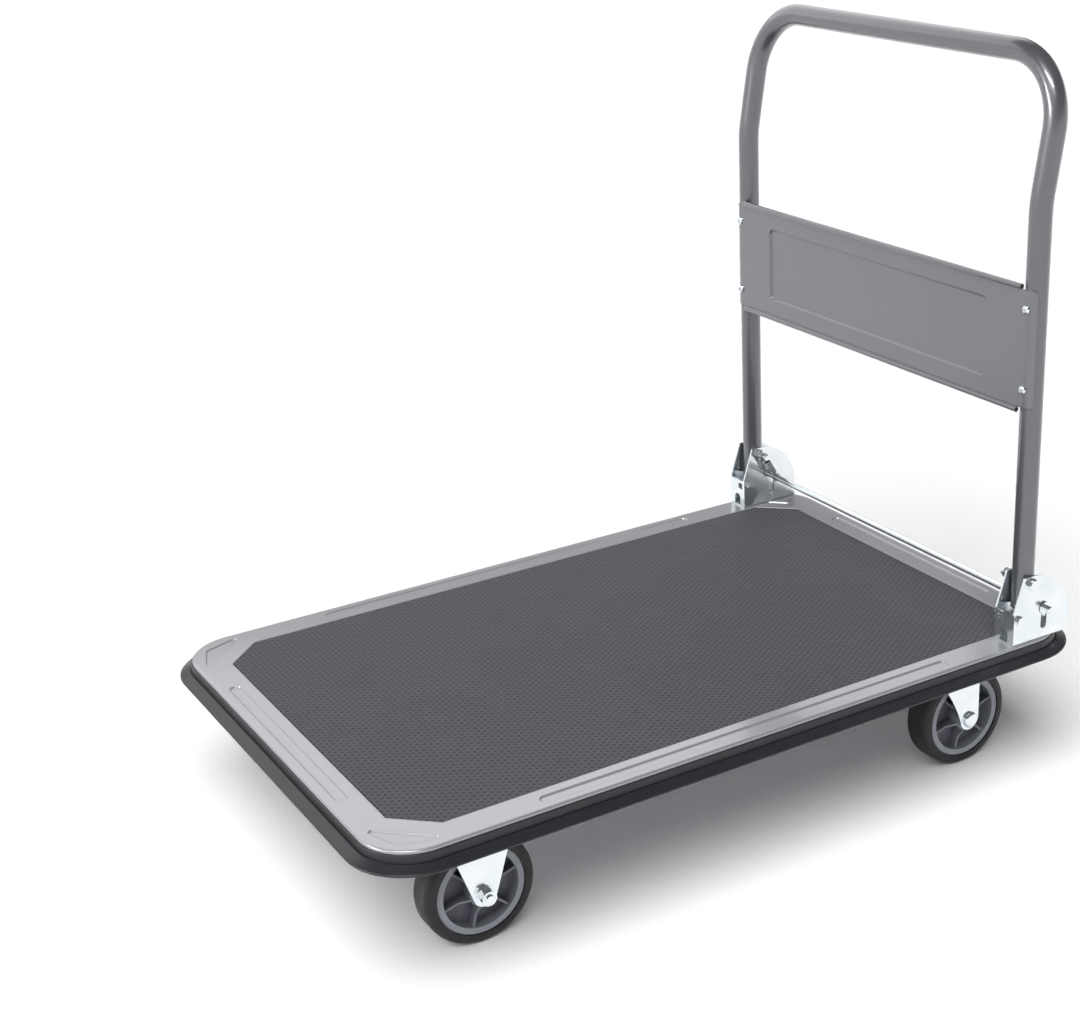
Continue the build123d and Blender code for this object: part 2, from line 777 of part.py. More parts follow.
# Pivot bolts with a long tail for the springs, stop bolts with a sleeve
pivot_nut_height = 1.6 * pivot_bolt_radius
pivot_bolt = hex_bolt(pivot_bolt_radius, 2 * cheek_out + pivot_nut_height + pivot_bolt_tail)
pivot_nut = hex_nut(pivot_bolt_radius)
stop_bolt = hex_bolt(stop_bolt_radius, 2 * cheek_out + 1.6 * stop_bolt_radius + bolt_point)
stop_nut = hex_nut(stop_bolt_radius)
stop_x = bracket_x + stop_setback
stop_z = deck_top + stop_height
sleeve_half = cheek_in - run_gap

with BuildPart() as stop_sleeve:
    with BuildSketch(Plane.XY.offset(-sleeve_half)):
        Circle(stop_sleeve_radius)
        Circle(stop_bolt_radius + seat_gap, mode=Mode.SUBTRACT)
    extrude(amount=2 * sleeve_half)

sides = (1, -1)
place(pivot_bolt, "pivot_bolts", *[sideways(leg_x, s * (leg_y + cheek_out), pivot_z, s) for s in sides])
place(pivot_nut, "pivot_nuts", *[sideways(leg_x, s * (leg_y - cheek_out), pivot_z, -s) for s in sides])
place(stop_bolt, "stop_bolts", *[sideways(stop_x, s * (leg_y + cheek_out), stop_z, s) for s in sides])
place(stop_nut, "stop_nuts", *[sideways(stop_x, s * (leg_y - cheek_out), stop_z, -s) for s in sides])
place(stop_sleeve, "stop_sleeves", *[sideways(stop_x, s * leg_y, stop_z, s) for s in sides])

# Release rod across the deck, with a clip outside each bracket
rod_half = leg_y + cheek_out + rod_end

with BuildPart() as release_rod:
    with BuildSketch(upright(rod_half)):
        with Locations((rod_x, rod_z)):
            Circle(rod_radius)
    extrude(amount=2 * rod_half)
    chamfer(release_rod.edges(), 0.8)
save(release_rod, "release_rod")

with BuildPart() as rod_clip:
    with BuildSketch():
        Circle(clip_radius)
        Circle(rod_radius + seat_gap, mode=Mode.SUBTRACT)
    extrude(amount=clip_thickness)
    chamfer(rod_clip.edges().group_by(SortBy.LENGTH)[-1], 0.3)
clip_y = leg_y + cheek_out + side_gap
place(rod_clip, "rod_clips", *[sideways(rod_x, s * clip_y, rod_z, s) for s in sides])

# Return springs, from the tail of each pivot bolt down to the rod, built standing on the pivot bolt
spring_y = leg_y - cheek_out - pivot_nut_height - pivot_bolt_tail / 2
spring_axis = Vector(rod_x - leg_x, 0, rod_z - pivot_z)
coil_length = rod_reach - 2 * spring_end
hook_radius = max(pivot_bolt_radius, rod_radius) + spring_wire_radius + rod_gap

with BuildPart() as spring:
    with BuildLine() as coil:
        Helix(coil_length / spring_turns, coil_length, spring_radius, center=(0, 0, spring_end))
    with BuildSketch(Plane(origin=coil.line @ 0, z_dir=coil.line % 0)):
        Circle(spring_wire_radius)
    sweep(path=coil.line, is_frenet=True)
    for hook, along in ((0, 1), (rod_reach, -1)):
        with BuildSketch(Plane.XZ):
            with BuildLine():
                Polyline(
                    (0, hook + along * (hook_radius - spring_wire_radius / 2)),
                    (0, hook + along * spring_end),
                    (spring_radius, hook + along * spring_end),
                )
            trace(line_width=2 * spring_wire_radius)
        extrude(amount=spring_wire_radius, both=True)
        with BuildSketch(Plane.XZ):
            with Locations((0, hook + hook_radius)):
                Circle(spring_wire_radius)
        revolve(axis=Axis((0, 0, hook), (1, 0, 0)))
for side, s in (("left", 1), ("right", -1)):
    seat = Plane(origin=(leg_x, s * spring_y, pivot_z), x_dir=(0, 1, 0), z_dir=spring_axis)
    place(spring, f"{side}_return_spring", seat.location)

# Handle: one tube bent back above the panel and round at the top corners
bend_z = deck_top + handle_bend_height
top_z = deck_top + handle_top_height
top_x = leg_x + (top_z - bend_z) * tan(radians(handle_lean))
tube_end = pivot_z - tail_length + plug_flange
pivot_bush_radius = pivot_bolt_radius + 2.0
panel_low = deck_top + panel_bottom
panel_high = panel_low + panel_height
screw_heights = (panel_low + screw_inset, panel_high - screw_inset)

with BuildPart() as handle_tube:
    with BuildLine() as handle_path:
        FilletPolyline(
            (leg_x, -leg_y, tube_end),
            (leg_x, -leg_y, bend_z),
            (top_x, -leg_y, top_z),
            (top_x, leg_y, top_z),
            (leg_x, leg_y, bend_z),
            (leg_x, leg_y, tube_end),
            radius=[handle_bend_radius, handle_corner_radius, handle_corner_radius, handle_bend_radius],
        )
    with BuildSketch(Plane(origin=(leg_x, -leg_y, tube_end), z_dir=(0, 0, 1))):
        Circle(tube_radius)
        Circle(tube_radius - tube_wall, mode=Mode.SUBTRACT)
    sweep(path=handle_path.wires()[0])
    with BuildSketch(upright(leg_y + tube_radius)):
        with Locations((leg_x, pivot_z)):
            Circle(pivot_bush_radius + seat_gap)
    extrude(amount=leg_spacing + 2 * tube_radius, mode=Mode.SUBTRACT)
    with BuildSketch(Plane.YZ.offset(leg_x - 2 * tube_radius)):
        for z in screw_heights:
            with Locations((leg_y, z), (-leg_y, z)):
                Circle(screw_radius + hole_gap)
    extrude(amount=2 * tube_radius, mode=Mode.SUBTRACT)
save(handle_tube, "handle_tube")

pivot_bush_half = cheek_in - face_gap

with BuildPart() as pivot_bush:
    with BuildSketch(Plane.XY.offset(-pivot_bush_half)):
        Circle(pivot_bush_radius)
        Circle(pivot_bolt_radius + run_gap, mode=Mode.SUBTRACT)
    extrude(amount=2 * pivot_bush_half)
place(pivot_bush, "pivot_bushes", *[sideways(leg_x, s * leg_y, pivot_z, s) for s in sides])

with BuildPart() as leg_plug:
    with BuildSketch():
        Circle(tube_radius)
    extrude(amount=-plug_flange)
    with BuildSketch():
        Circle(tube_radius - tube_wall - seat_gap)
    extrude(amount=plug_stem)
place(leg_plug, "leg_plugs", *[(leg_x, s * leg_y, tube_end) for s in sides])

# Panel: sheet wrapped round the legs, rolled top and bottom, with a field pressed to the back
panel_wrap_radius = tube_radius + panel_gap + panel_sheet / 2
panel_mid = leg_x - panel_wrap_radius
panel_front = panel_mid - panel_sheet / 2
roll_half = leg_y - roll_end_gap
roll_spots = [
    (panel_mid - roll_forward, panel_low + roll_radius),
    (panel_mid - roll_forward, panel_high - roll_radius),
]
panel_centre = (panel_low + panel_high) / 2
field_front = Plane(origin=(panel_front, 0, panel_centre), x_dir=(0, -1, 0), z_dir=(-1, 0, 0))
field_back_length = field_length + 2 * panel_sheet
field_back_height = field_height + 2 * panel_sheet

with BuildPart() as handle_panel:
    with BuildSketch(Plane.XY.offset(panel_low + 2 * roll_radius)):
        with BuildLine():
            CenterArc((leg_x, leg_y), panel_wrap_radius, 180 - panel_wrap, panel_wrap)
            Line((panel_mid, leg_y), (panel_mid, -leg_y))
            CenterArc((leg_x, -leg_y), panel_wrap_radius, 180, panel_wrap)
        trace(line_width=panel_sheet)
    extrude(amount=panel_height - 4 * roll_radius)
    tab_corners = handle_panel.edges().filter_by(lambda edge: abs(edge.length - panel_sheet) < 0.01)
    fillet(tab_corners.filter_by(lambda edge: abs(edge.center().Y) > leg_y), panel_tab_corner)
    with BuildSketch(Plane.YZ.offset(panel_front)):
        with Locations((0, panel_centre)):
            Rectangle(2 * roll_half, panel_height - 2 * roll_radius)
    extrude(amount=panel_sheet)
    with BuildSketch(upright(roll_half)):
        with Locations(*roll_spots):
            Circle(roll_radius)
    extrude(amount=2 * roll_half)
    with BuildSketch(upright(roll_half)):
        with Locations(*roll_spots):
            Circle(roll_radius - roll_wall)
    extrude(amount=2 * roll_half, mode=Mode.SUBTRACT)
    with BuildSketch(field_front.offset(-panel_sheet)):
        RectangleRounded(field_back_length, field_back_height, field_corner + panel_sheet)
    extrude(amount=-field_depth, taper=press_taper)
    with BuildSketch(field_front):
        RectangleRounded(field_length, field_height, field_corner)
    extrude(amount=-field_depth, taper=press_taper, mode=Mode.SUBTRACT)
    with BuildSketch(Plane.YZ.offset(panel_front)):
        for z in screw_heights:
            with Locations((leg_y, z), (-leg_y, z)):
                Circle(screw_radius + hole_gap)
    extrude(amount=2 * panel_sheet, mode=Mode.SUBTRACT)
save(handle_panel, "handle_panel")

# Pan-head screws through the panel into the legs
with BuildPart() as panel_screw:
    with BuildSketch():
        Circle(screw_head_radius)
    extrude(amount=screw_head_height)
    fillet(panel_screw.faces().sort_by(Axis.Z)[-1].edges(), screw_head_height - 0.8)
    with BuildSketch(Plane.XY.offset(screw_head_height)):
        Rectangle(1.2 * screw_head_radius, screw_cross)
        Rectangle(screw_cross, 1.2 * screw_head_radius)
    extrude(amount=-screw_head_height / 2, mode=Mode.SUBTRACT)
    with BuildSketch():
        Circle(screw_radius)
    extrude(amount=-screw_length)
place(
    panel_screw,
    "panel_screws",
    *[Location((panel_front, s * leg_y, z), (0, -90, 0)) for s in sides for z in screw_heights],
)
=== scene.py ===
import json
from math import cos, pi, radians, sin

import bpy
from mathutils import Matrix, Vector


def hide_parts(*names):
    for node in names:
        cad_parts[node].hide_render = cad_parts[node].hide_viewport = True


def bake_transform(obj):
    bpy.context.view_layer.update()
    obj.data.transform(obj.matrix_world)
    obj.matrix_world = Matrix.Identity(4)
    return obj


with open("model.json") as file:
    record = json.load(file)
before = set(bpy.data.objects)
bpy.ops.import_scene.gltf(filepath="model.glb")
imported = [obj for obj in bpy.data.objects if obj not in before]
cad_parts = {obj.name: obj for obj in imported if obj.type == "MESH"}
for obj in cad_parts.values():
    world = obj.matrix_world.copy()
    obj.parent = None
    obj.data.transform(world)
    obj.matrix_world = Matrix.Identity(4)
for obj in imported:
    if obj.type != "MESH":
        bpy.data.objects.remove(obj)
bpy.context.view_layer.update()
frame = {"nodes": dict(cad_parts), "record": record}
nodes = frame["nodes"]

MM = 0.001
WHITE = (1.0, 1.0, 1.0, 1.0)
# Sockets of a colour mix, which go by number: how much of the second, the two colours, the result
AMOUNT, FIRST, SECOND, MIXED = 0, 6, 7, 2
# Nearly all values of a noise texture lie between these
NOISE_LOW, NOISE_HIGH = 0.3, 0.7
# Enough for a smooth line of light along a rounded edge
EDGE_SAMPLES = 6


def linear(hex_colour):
    """An sRGB hex colour as the linear colour that shaders take."""
    channels = [int(hex_colour[i:i + 2], 16) / 255 for i in (1, 3, 5)]
    return tuple(
        c / 12.92 if c <= 0.04045 else ((c + 0.055) / 1.055) ** 2.4 for c in channels) + (1.0,)


def per_metre(size_mm):
    """The scale of a pattern whose features are size_mm across."""
    return 1 / (size_mm * MM)


def add(tree, kind, inputs=None, **settings):
    """Add a shader node with its settings. Each input is a value, or an output to link to it."""
    made = tree.nodes.new(kind)
    for name, value in settings.items():
        setattr(made, name, value)
    for key, value in (inputs or {}).items():
        if isinstance(value, bpy.types.NodeSocket):
            tree.links.new(value, made.inputs[key])
        else:
            made.inputs[key].default_value = value
    return made


def new_finish(name):
    """An empty material and its node tree."""
    finish = bpy.data.materials.new(name)
    finish.use_nodes = True
    finish.node_tree.nodes.clear()
    return finish, finish.node_tree


def sprayed_enamel(name, thin_coat, full_coat, flake):
    # Silver-grey enamel sprayed on pressed steel: flakes under a clear gloss, so it mirrors softly
    # what is near it.
    cloud_mm, rub_mm = 90, 45
    finish, tree = new_finish(name)
    place = add(tree, "ShaderNodeTexCoord").outputs["Object"]
    film = add(tree, "ShaderNodeTexNoise", {
        "Vector": place, "Scale": per_metre(cloud_mm), "Detail": 2.0})
    colour = add(tree, "ShaderNodeMix", {
        AMOUNT: film.outputs["Fac"], FIRST: linear(thin_coat), SECOND: linear(full_coat)},
        data_type="RGBA")
    rubbed = add(tree, "ShaderNodeTexNoise", {
        "Vector": place, "Scale": per_metre(rub_mm), "Detail": 2.0})
    sheen = add(tree, "ShaderNodeMapRange", {
        "Value": rubbed.outputs["Fac"], "From Min": NOISE_LOW, "From Max": NOISE_HIGH,
        "To Min": 0.285, "To Max": 0.33})
    # Pressed sheet and bent tube wave a little from crest to crest, which bends long reflections
    wave_mm = 45
    wave = add(tree, "ShaderNodeTexNoise", {
        "Vector": place, "Scale": per_metre(wave_mm), "Detail": 0.0})
    # The tool and the paint round every pressed edge, and it catches a thin line of light
    edge_mm = 2.5
    rounded = add(tree, "ShaderNodeBevel", {"Radius": edge_mm * MM}, samples=EDGE_SAMPLES)
    relief = add(tree, "ShaderNodeBump", {
        "Height": wave.outputs["Fac"], "Distance": 0.08 * MM,
        "Normal": rounded.outputs["Normal"]})
    paint = add(tree, "ShaderNodeBsdfPrincipled", {
        "Base Color": colour.outputs[MIXED], "Metallic": flake,
        "Roughness": sheen.outputs["Result"], "Coat Weight": 1.0, "Coat Roughness": 0.1,
        "Normal": relief.outputs["Normal"]})
    add(tree, "ShaderNodeOutputMaterial", {"Surface": paint.outputs["BSDF"]})
    return finish


def embossed_vinyl(name):
    # Calendered vinyl sheet, embossed with staggered round dimples in a dull grey field; the pits
    # are drawn darker, as painted shade in the dimples.
    pitch_x, pitch_y = 11.96 * MM, 7.64 * MM
    pit_radius, field_radius = 1.0 * MM, 2.8 * MM
    blotch_mm, dust_mm = 60, 3
    finish, tree = new_finish(name)
    place = add(tree, "ShaderNodeTexCoord").outputs["Object"]
    reaches = []
    for shift in (0.0, 0.5):
        cells = add(tree, "ShaderNodeMapping", {
            "Vector": place, "Location": (shift, shift, 0.0),
            "Scale": (1 / pitch_x, 1 / pitch_y, 0.0)})
        within = add(tree, "ShaderNodeVectorMath", {
            0: cells.outputs["Vector"]}, operation="FRACTION")
        centred = add(tree, "ShaderNodeVectorMath", {
            0: within.outputs["Vector"], 1: (-0.5, -0.5, 0.0)}, operation="ADD")
        sized = add(tree, "ShaderNodeVectorMath", {
            0: centred.outputs["Vector"], 1: (pitch_x, pitch_y, 0.0)}, operation="MULTIPLY")
        reaches.append(add(tree, "ShaderNodeVectorMath", {
            0: sized.outputs["Vector"]}, operation="LENGTH"))
    nearest = add(tree, "ShaderNodeMath", {
        0: reaches[0].outputs["Value"], 1: reaches[1].outputs["Value"]}, operation="MINIMUM")
    dimple_relief_and_shade = add(tree, "ShaderNodeMapRange", {
        "Value": nearest.outputs["Value"], "From Min": pit_radius, "From Max": field_radius},
        interpolation_type="SMOOTHSTEP")
    blotch = add(tree, "ShaderNodeTexNoise", {
        "Vector": place, "Scale": per_metre(blotch_mm), "Detail": 3.0})
    sheet = add(tree, "ShaderNodeMix", {
        AMOUNT: blotch.outputs["Fac"], FIRST: linear("#505054"), SECOND: linear("#57575C")},
        data_type="RGBA")
    # Painted shade: the pits are drawn darker than the sheet around them
    colour = add(tree, "ShaderNodeMix", {
        AMOUNT: dimple_relief_and_shade.outputs["Result"], FIRST: linear("#3C3C40"), SECOND: sheet.outputs[MIXED]},
        data_type="RGBA")
    dust = add(tree, "ShaderNodeTexNoise", {
        "Vector": place, "Scale": per_metre(dust_mm), "Detail": 4.0})
    sheen = add(tree, "ShaderNodeMapRange", {
        "Value": dust.outputs["Fac"], "From Min": NOISE_LOW, "From Max": NOISE_HIGH,
        "To Min": 0.52, "To Max": 0.68})
    dimples = add(tree, "ShaderNodeBump", {
        "Height": dimple_relief_and_shade.outputs["Result"], "Distance": 0.35 * MM})
    # The real grain of the sheet is finer than 1 mm, and is drawn coarser so that it shows
    grain_mm = 2.5
    grain = add(tree, "ShaderNodeTexNoise", {
        "Vector": place, "Scale": per_metre(grain_mm), "Detail": 2.0})
    relief = add(tree, "ShaderNodeBump", {
        "Height": grain.outputs["Fac"], "Distance": 0.05 * MM,
        "Normal": dimples.outputs["Normal"]})
    vinyl = add(tree, "ShaderNodeBsdfPrincipled", {
        "Base Color": colour.outputs[MIXED], "Roughness": sheen.outputs["Result"], "IOR": 1.5,
        "Specular IOR Level": 0.25, "Normal": relief.outputs["Normal"]})
    add(tree, "ShaderNodeOutputMaterial", {"Surface": vinyl.outputs["BSDF"]})
    return finish


def moulded_vinyl(name):
    # Extruded soft vinyl, moulded round the corners: satin, cloudy in gloss where walls rub it.
    cloud_mm, rub_mm = 40, 30
    finish, tree = new_finish(name)
    place = add(tree, "ShaderNodeTexCoord").outputs["Object"]
    cloud = add(tree, "ShaderNodeTexNoise", {
        "Vector": place, "Scale": per_metre(cloud_mm), "Detail": 2.0})
    colour = add(tree, "ShaderNodeMix", {
        AMOUNT: cloud.outputs["Fac"], FIRST: linear("#222327"), SECOND: linear("#28292D")},
        data_type="RGBA")
    rubbed = add(tree, "ShaderNodeTexNoise", {
        "Vector": place, "Scale": per_metre(rub_mm), "Detail": 2.0})
    sheen = add(tree, "ShaderNodeMapRange", {
        "Value": rubbed.outputs["Fac"], "From Min": NOISE_LOW, "From Max": NOISE_HIGH,
        "To Min": 0.285, "To Max": 0.32})
    # The real mould grain is finer than 1 mm, and is drawn coarser so that it shows
    grain_mm = 3
    grain = add(tree, "ShaderNodeTexNoise", {
        "Vector": place, "Scale": per_metre(grain_mm), "Detail": 1.0})
    # The die leaves its edges a little round, so they catch some light
    edge_mm = 1.0
    rounded = add(tree, "ShaderNodeBevel", {"Radius": edge_mm * MM}, samples=EDGE_SAMPLES)
    relief = add(tree, "ShaderNodeBump", {
        "Height": grain.outputs["Fac"], "Distance": 0.01 * MM,
        "Normal": rounded.outputs["Normal"]})
    vinyl = add(tree, "ShaderNodeBsdfPrincipled", {
        "Base Color": colour.outputs[MIXED], "Roughness": sheen.outputs["Result"], "IOR": 1.5,
        "Normal": relief.outputs["Normal"]})
    add(tree, "ShaderNodeOutputMaterial", {"Surface": vinyl.outputs["BSDF"]})
    return finish


def bright_zinc(name):
    # Bright zinc plate on pressed steel: pale bluish metal, softly mottled by the plating bath.
    mottle_mm, stain_mm = 25, 6
    finish, tree = new_finish(name)
    place = add(tree, "ShaderNodeTexCoord").outputs["Object"]
    mottle = add(tree, "ShaderNodeTexNoise", {
        "Vector": place, "Scale": per_metre(mottle_mm), "Detail": 4.0})
    colour = add(tree, "ShaderNodeMix", {
        AMOUNT: mottle.outputs["Fac"], FIRST: linear("#DAE5EA"), SECOND: linear("#FDFEFE")},
        data_type="RGBA")
    stain = add(tree, "ShaderNodeTexNoise", {
        "Vector": place, "Scale": per_metre(stain_mm), "Detail": 5.0})
    sheen = add(tree, "ShaderNodeMapRange", {
        "Value": stain.outputs["Fac"], "From Min": NOISE_LOW, "From Max": NOISE_HIGH,
        "To Min": 0.13, "To Max": 0.24})
    # The real grain of the plate is finer than 1 mm, and is drawn coarser so that it shows
    grain_mm = 2.5
    grain = add(tree, "ShaderNodeTexNoise", {
        "Vector": place, "Scale": per_metre(grain_mm), "Detail": 3.0})
    relief = add(tree, "ShaderNodeBump", {
        "Height": grain.outputs["Fac"], "Distance": 0.012 * MM})
    plate = add(tree, "ShaderNodeBsdfPrincipled", {
        "Base Color": colour.outputs[MIXED], "Metallic": 1.0,
        "Roughness": sheen.outputs["Result"], "Normal": relief.outputs["Normal"]})
    add(tree, "ShaderNodeOutputMaterial", {"Surface": plate.outputs["BSDF"]})
    return finish


def drawn_steel(name):
    # Drawn steel wire and bar: greyer than the plated parts, with fine lines from the die. The
    # real lines are finer than 0.1 mm, and are drawn coarser so that they show from near.
    line_mm, line_length_mm = 0.8, 9
    finish, tree = new_finish(name)
    place = add(tree, "ShaderNodeTexCoord").outputs["Object"]
    pulled = add(tree, "ShaderNodeMapping", {
        "Vector": place,
        "Scale": (per_metre(line_mm), per_metre(line_length_mm), per_metre(line_mm))})
    lines = add(tree, "ShaderNodeTexNoise", {
        "Vector": pulled.outputs["Vector"], "Scale": 1.0, "Detail": 3.0})
    colour = add(tree, "ShaderNodeMix", {
        AMOUNT: lines.outputs["Fac"], FIRST: linear("#86888C"), SECOND: linear("#BCBEC2")},
        data_type="RGBA")
    sheen = add(tree, "ShaderNodeMapRange", {
        "Value": lines.outputs["Fac"], "To Min": 0.18, "To Max": 0.26})
    steel = add(tree, "ShaderNodeBsdfPrincipled", {
        "Base Color": colour.outputs[MIXED], "Metallic": 1.0,
        "Roughness": sheen.outputs["Result"]})
    add(tree, "ShaderNodeOutputMaterial", {"Surface": steel.outputs["BSDF"]})
    return finish


def solid_rubber(name):
    # Moulded solid rubber: matt black with a greyer bloom and fine mould grain.
    bloom_mm = 18
    finish, tree = new_finish(name)
    place = add(tree, "ShaderNodeTexCoord").outputs["Object"]
    bloom = add(tree, "ShaderNodeTexNoise", {
        "Vector": place, "Scale": per_metre(bloom_mm), "Detail": 5.0})
    colour = add(tree, "ShaderNodeMix", {
        AMOUNT: bloom.outputs["Fac"], FIRST: linear("#0F0F12"), SECOND: linear("#17171A")},
        data_type="RGBA")
    sheen = add(tree, "ShaderNodeMapRange", {
        "Value": bloom.outputs["Fac"], "From Min": NOISE_LOW, "From Max": NOISE_HIGH,
        "To Min": 0.50, "To Max": 0.66})
    # The real mould grain is finer than 1 mm, and is drawn coarser so that it shows
    grain_mm = 2.5
    grain = add(tree, "ShaderNodeTexNoise", {
        "Vector": place, "Scale": per_metre(grain_mm), "Detail": 3.0})
    relief = add(tree, "ShaderNodeBump", {
        "Height": grain.outputs["Fac"], "Distance": 0.04 * MM})
    rubber = add(tree, "ShaderNodeBsdfPrincipled", {
        "Base Color": colour.outputs[MIXED], "Roughness": sheen.outputs["Result"], "IOR": 1.52,
        "Normal": relief.outputs["Normal"]})
    add(tree, "ShaderNodeOutputMaterial", {"Surface": rubber.outputs["BSDF"]})
    return finish


def moulded_polypropylene(name):
    # Moulded polypropylene hub, all one grey plastic, drawn with painted light and shade: the rim
    # ring is painted paler, as lit, and the dished web between the ribs painted darker, as shade.
    ring_inside, ring_outside = 0.835, 0.865  # shares of the hub's radius
    web_out, rib_out = 0.08, 0.34  # shares of the hub's width, from its middle
    flow_mm = 8
    finish, tree = new_finish(name)
    coords = add(tree, "ShaderNodeTexCoord")
    # Places run from 0 to 1 across the hub: taken from its middle and doubled, the rim is at 1
    across = add(tree, "ShaderNodeVectorMath", {
        0: coords.outputs["Generated"], 1: (-0.5, -0.5, -0.5)}, operation="ADD")
    flat = add(tree, "ShaderNodeVectorMath", {
        0: across.outputs["Vector"], 1: (2, 0, 2)}, operation="MULTIPLY")
    reach = add(tree, "ShaderNodeVectorMath", {0: flat.outputs["Vector"]}, operation="LENGTH")
    # Painted light: the rim ring is paler
    ring = add(tree, "ShaderNodeMapRange", {
        "Value": reach.outputs["Value"], "From Min": ring_inside, "From Max": ring_outside})
    sides = add(tree, "ShaderNodeSeparateXYZ", {0: across.outputs["Vector"]})
    out = add(tree, "ShaderNodeMath", {0: sides.outputs["Y"]}, operation="ABSOLUTE")
    # Painted shade: darker towards the middle of the hub's width, in the dished web between the
    # ribs
    web_shade_mask = add(tree, "ShaderNodeMapRange", {
        "Value": out.outputs["Value"], "From Min": web_out, "From Max": rib_out})
    painted_shade_dish = add(tree, "ShaderNodeMix", {
        AMOUNT: web_shade_mask.outputs["Result"], FIRST: linear("#62636D"), SECOND: linear("#7C7E86")},
        data_type="RGBA")
    colour = add(tree, "ShaderNodeMix", {
        AMOUNT: ring.outputs["Result"], FIRST: painted_shade_dish.outputs[MIXED], SECOND: linear("#8B8E95")},
        data_type="RGBA")
    flow = add(tree, "ShaderNodeTexNoise", {
        "Vector": coords.outputs["Object"], "Scale": per_metre(flow_mm), "Detail": 4.0})
    sheen = add(tree, "ShaderNodeMapRange", {
        "Value": flow.outputs["Fac"], "From Min": NOISE_LOW, "From Max": NOISE_HIGH,
        "To Min": 0.38, "To Max": 0.52})
    # The real mould grain is finer than 1 mm, and is drawn coarser so that it shows
    grain_mm = 2.5
    grain = add(tree, "ShaderNodeTexNoise", {
        "Vector": coords.outputs["Object"], "Scale": per_metre(grain_mm), "Detail": 2.0})
    relief = add(tree, "ShaderNodeBump", {
        "Height": grain.outputs["Fac"], "Distance": 0.02 * MM})
    plastic = add(tree, "ShaderNodeBsdfPrincipled", {
        "Base Color": colour.outputs[MIXED], "Roughness": sheen.outputs["Result"], "IOR": 1.49,
        "Normal": relief.outputs["Normal"]})
    add(tree, "ShaderNodeOutputMaterial", {"Surface": plastic.outputs["BSDF"]})
    return finish


def moulded_nylon(name):
    # Moulded black nylon: dull, with a slight mould texture.
    flow_mm = 5
    finish, tree = new_finish(name)
    place = add(tree, "ShaderNodeTexCoord").outputs["Object"]
    flow = add(tree, "ShaderNodeTexNoise", {
        "Vector": place, "Scale": per_metre(flow_mm), "Detail": 3.0})
    colour = add(tree, "ShaderNodeMix", {
        AMOUNT: flow.outputs["Fac"], FIRST: linear("#222225"), SECOND: linear("#323236")},
        data_type="RGBA")
    # The real mould grain is finer than 1 mm, and is drawn coarser so that it shows
    grain_mm = 2.5
    grain = add(tree, "ShaderNodeTexNoise", {
        "Vector": place, "Scale": per_metre(grain_mm), "Detail": 2.0})
    relief = add(tree, "ShaderNodeBump", {
        "Height": grain.outputs["Fac"], "Distance": 0.02 * MM})
    nylon = add(tree, "ShaderNodeBsdfPrincipled", {
        "Base Color": colour.outputs[MIXED], "Roughness": 0.5, "IOR": 1.53,
        "Normal": relief.outputs["Normal"]})
    add(tree, "ShaderNodeOutputMaterial", {"Surface": nylon.outputs["BSDF"]})
    return finish


finishes = {
    "deck_paint": sprayed_enamel("deck_sprayed_enamel", "#A3A4A8", "#AAABAF", flake=0.5),
    "handle_paint": sprayed_enamel("handle_sprayed_enamel", "#707176", "#76777C", flake=0.6),
    "mat_vinyl": embossed_vinyl("mat_embossed_vinyl"),
    "bumper_vinyl": moulded_vinyl("bumper_moulded_vinyl"),
    "zinc": bright_zinc("fittings_bright_zinc"),
    "spring_steel": drawn_steel("wire_drawn_steel"),
    "tyre_rubber": solid_rubber("tyre_solid_rubber"),
    "hub_plastic": moulded_polypropylene("hub_moulded_polypropylene"),
    "nylon": moulded_nylon("plug_moulded_nylon"),
}
# The tube has the same enamel as its panel, drawn a little darker: painted shade
shaded_tube_enamel = sprayed_enamel("tube_shaded_sprayed_enamel", "#65666B", "#6B6C71", flake=0.6)
for subpart in frame["record"]["subparts"]:
    mesh = nodes[subpart["node"]].data
    mesh.materials.clear()
    mesh.materials.append(
        shaded_tube_enamel if subpart["node"] == "handle_tube" else finishes[subpart["material_slot"]])

# Return springs: wound wire with a hook ring at each end, from the pivot bolt to the rod
PIVOT = Vector((371.0, 0.0, 247.0)) * MM
ROD = Vector((391.0, 0.0, 213.5)) * MM
SPRING_Y = 240.6 * MM
WIRE_RADIUS = 0.8 * MM
COIL_RADIUS = 3.6 * MM
HOOK_RADIUS = 5.15 * MM
COIL_END = 8.5 * MM
HOOK_TAIL = 1.2 * MM
TURNS = 13
STEPS_PER_TURN = 24
TOP_HOOK_START, BOTTOM_HOOK_START, HOOK_SWEEP = 30, 180, 330  # degrees

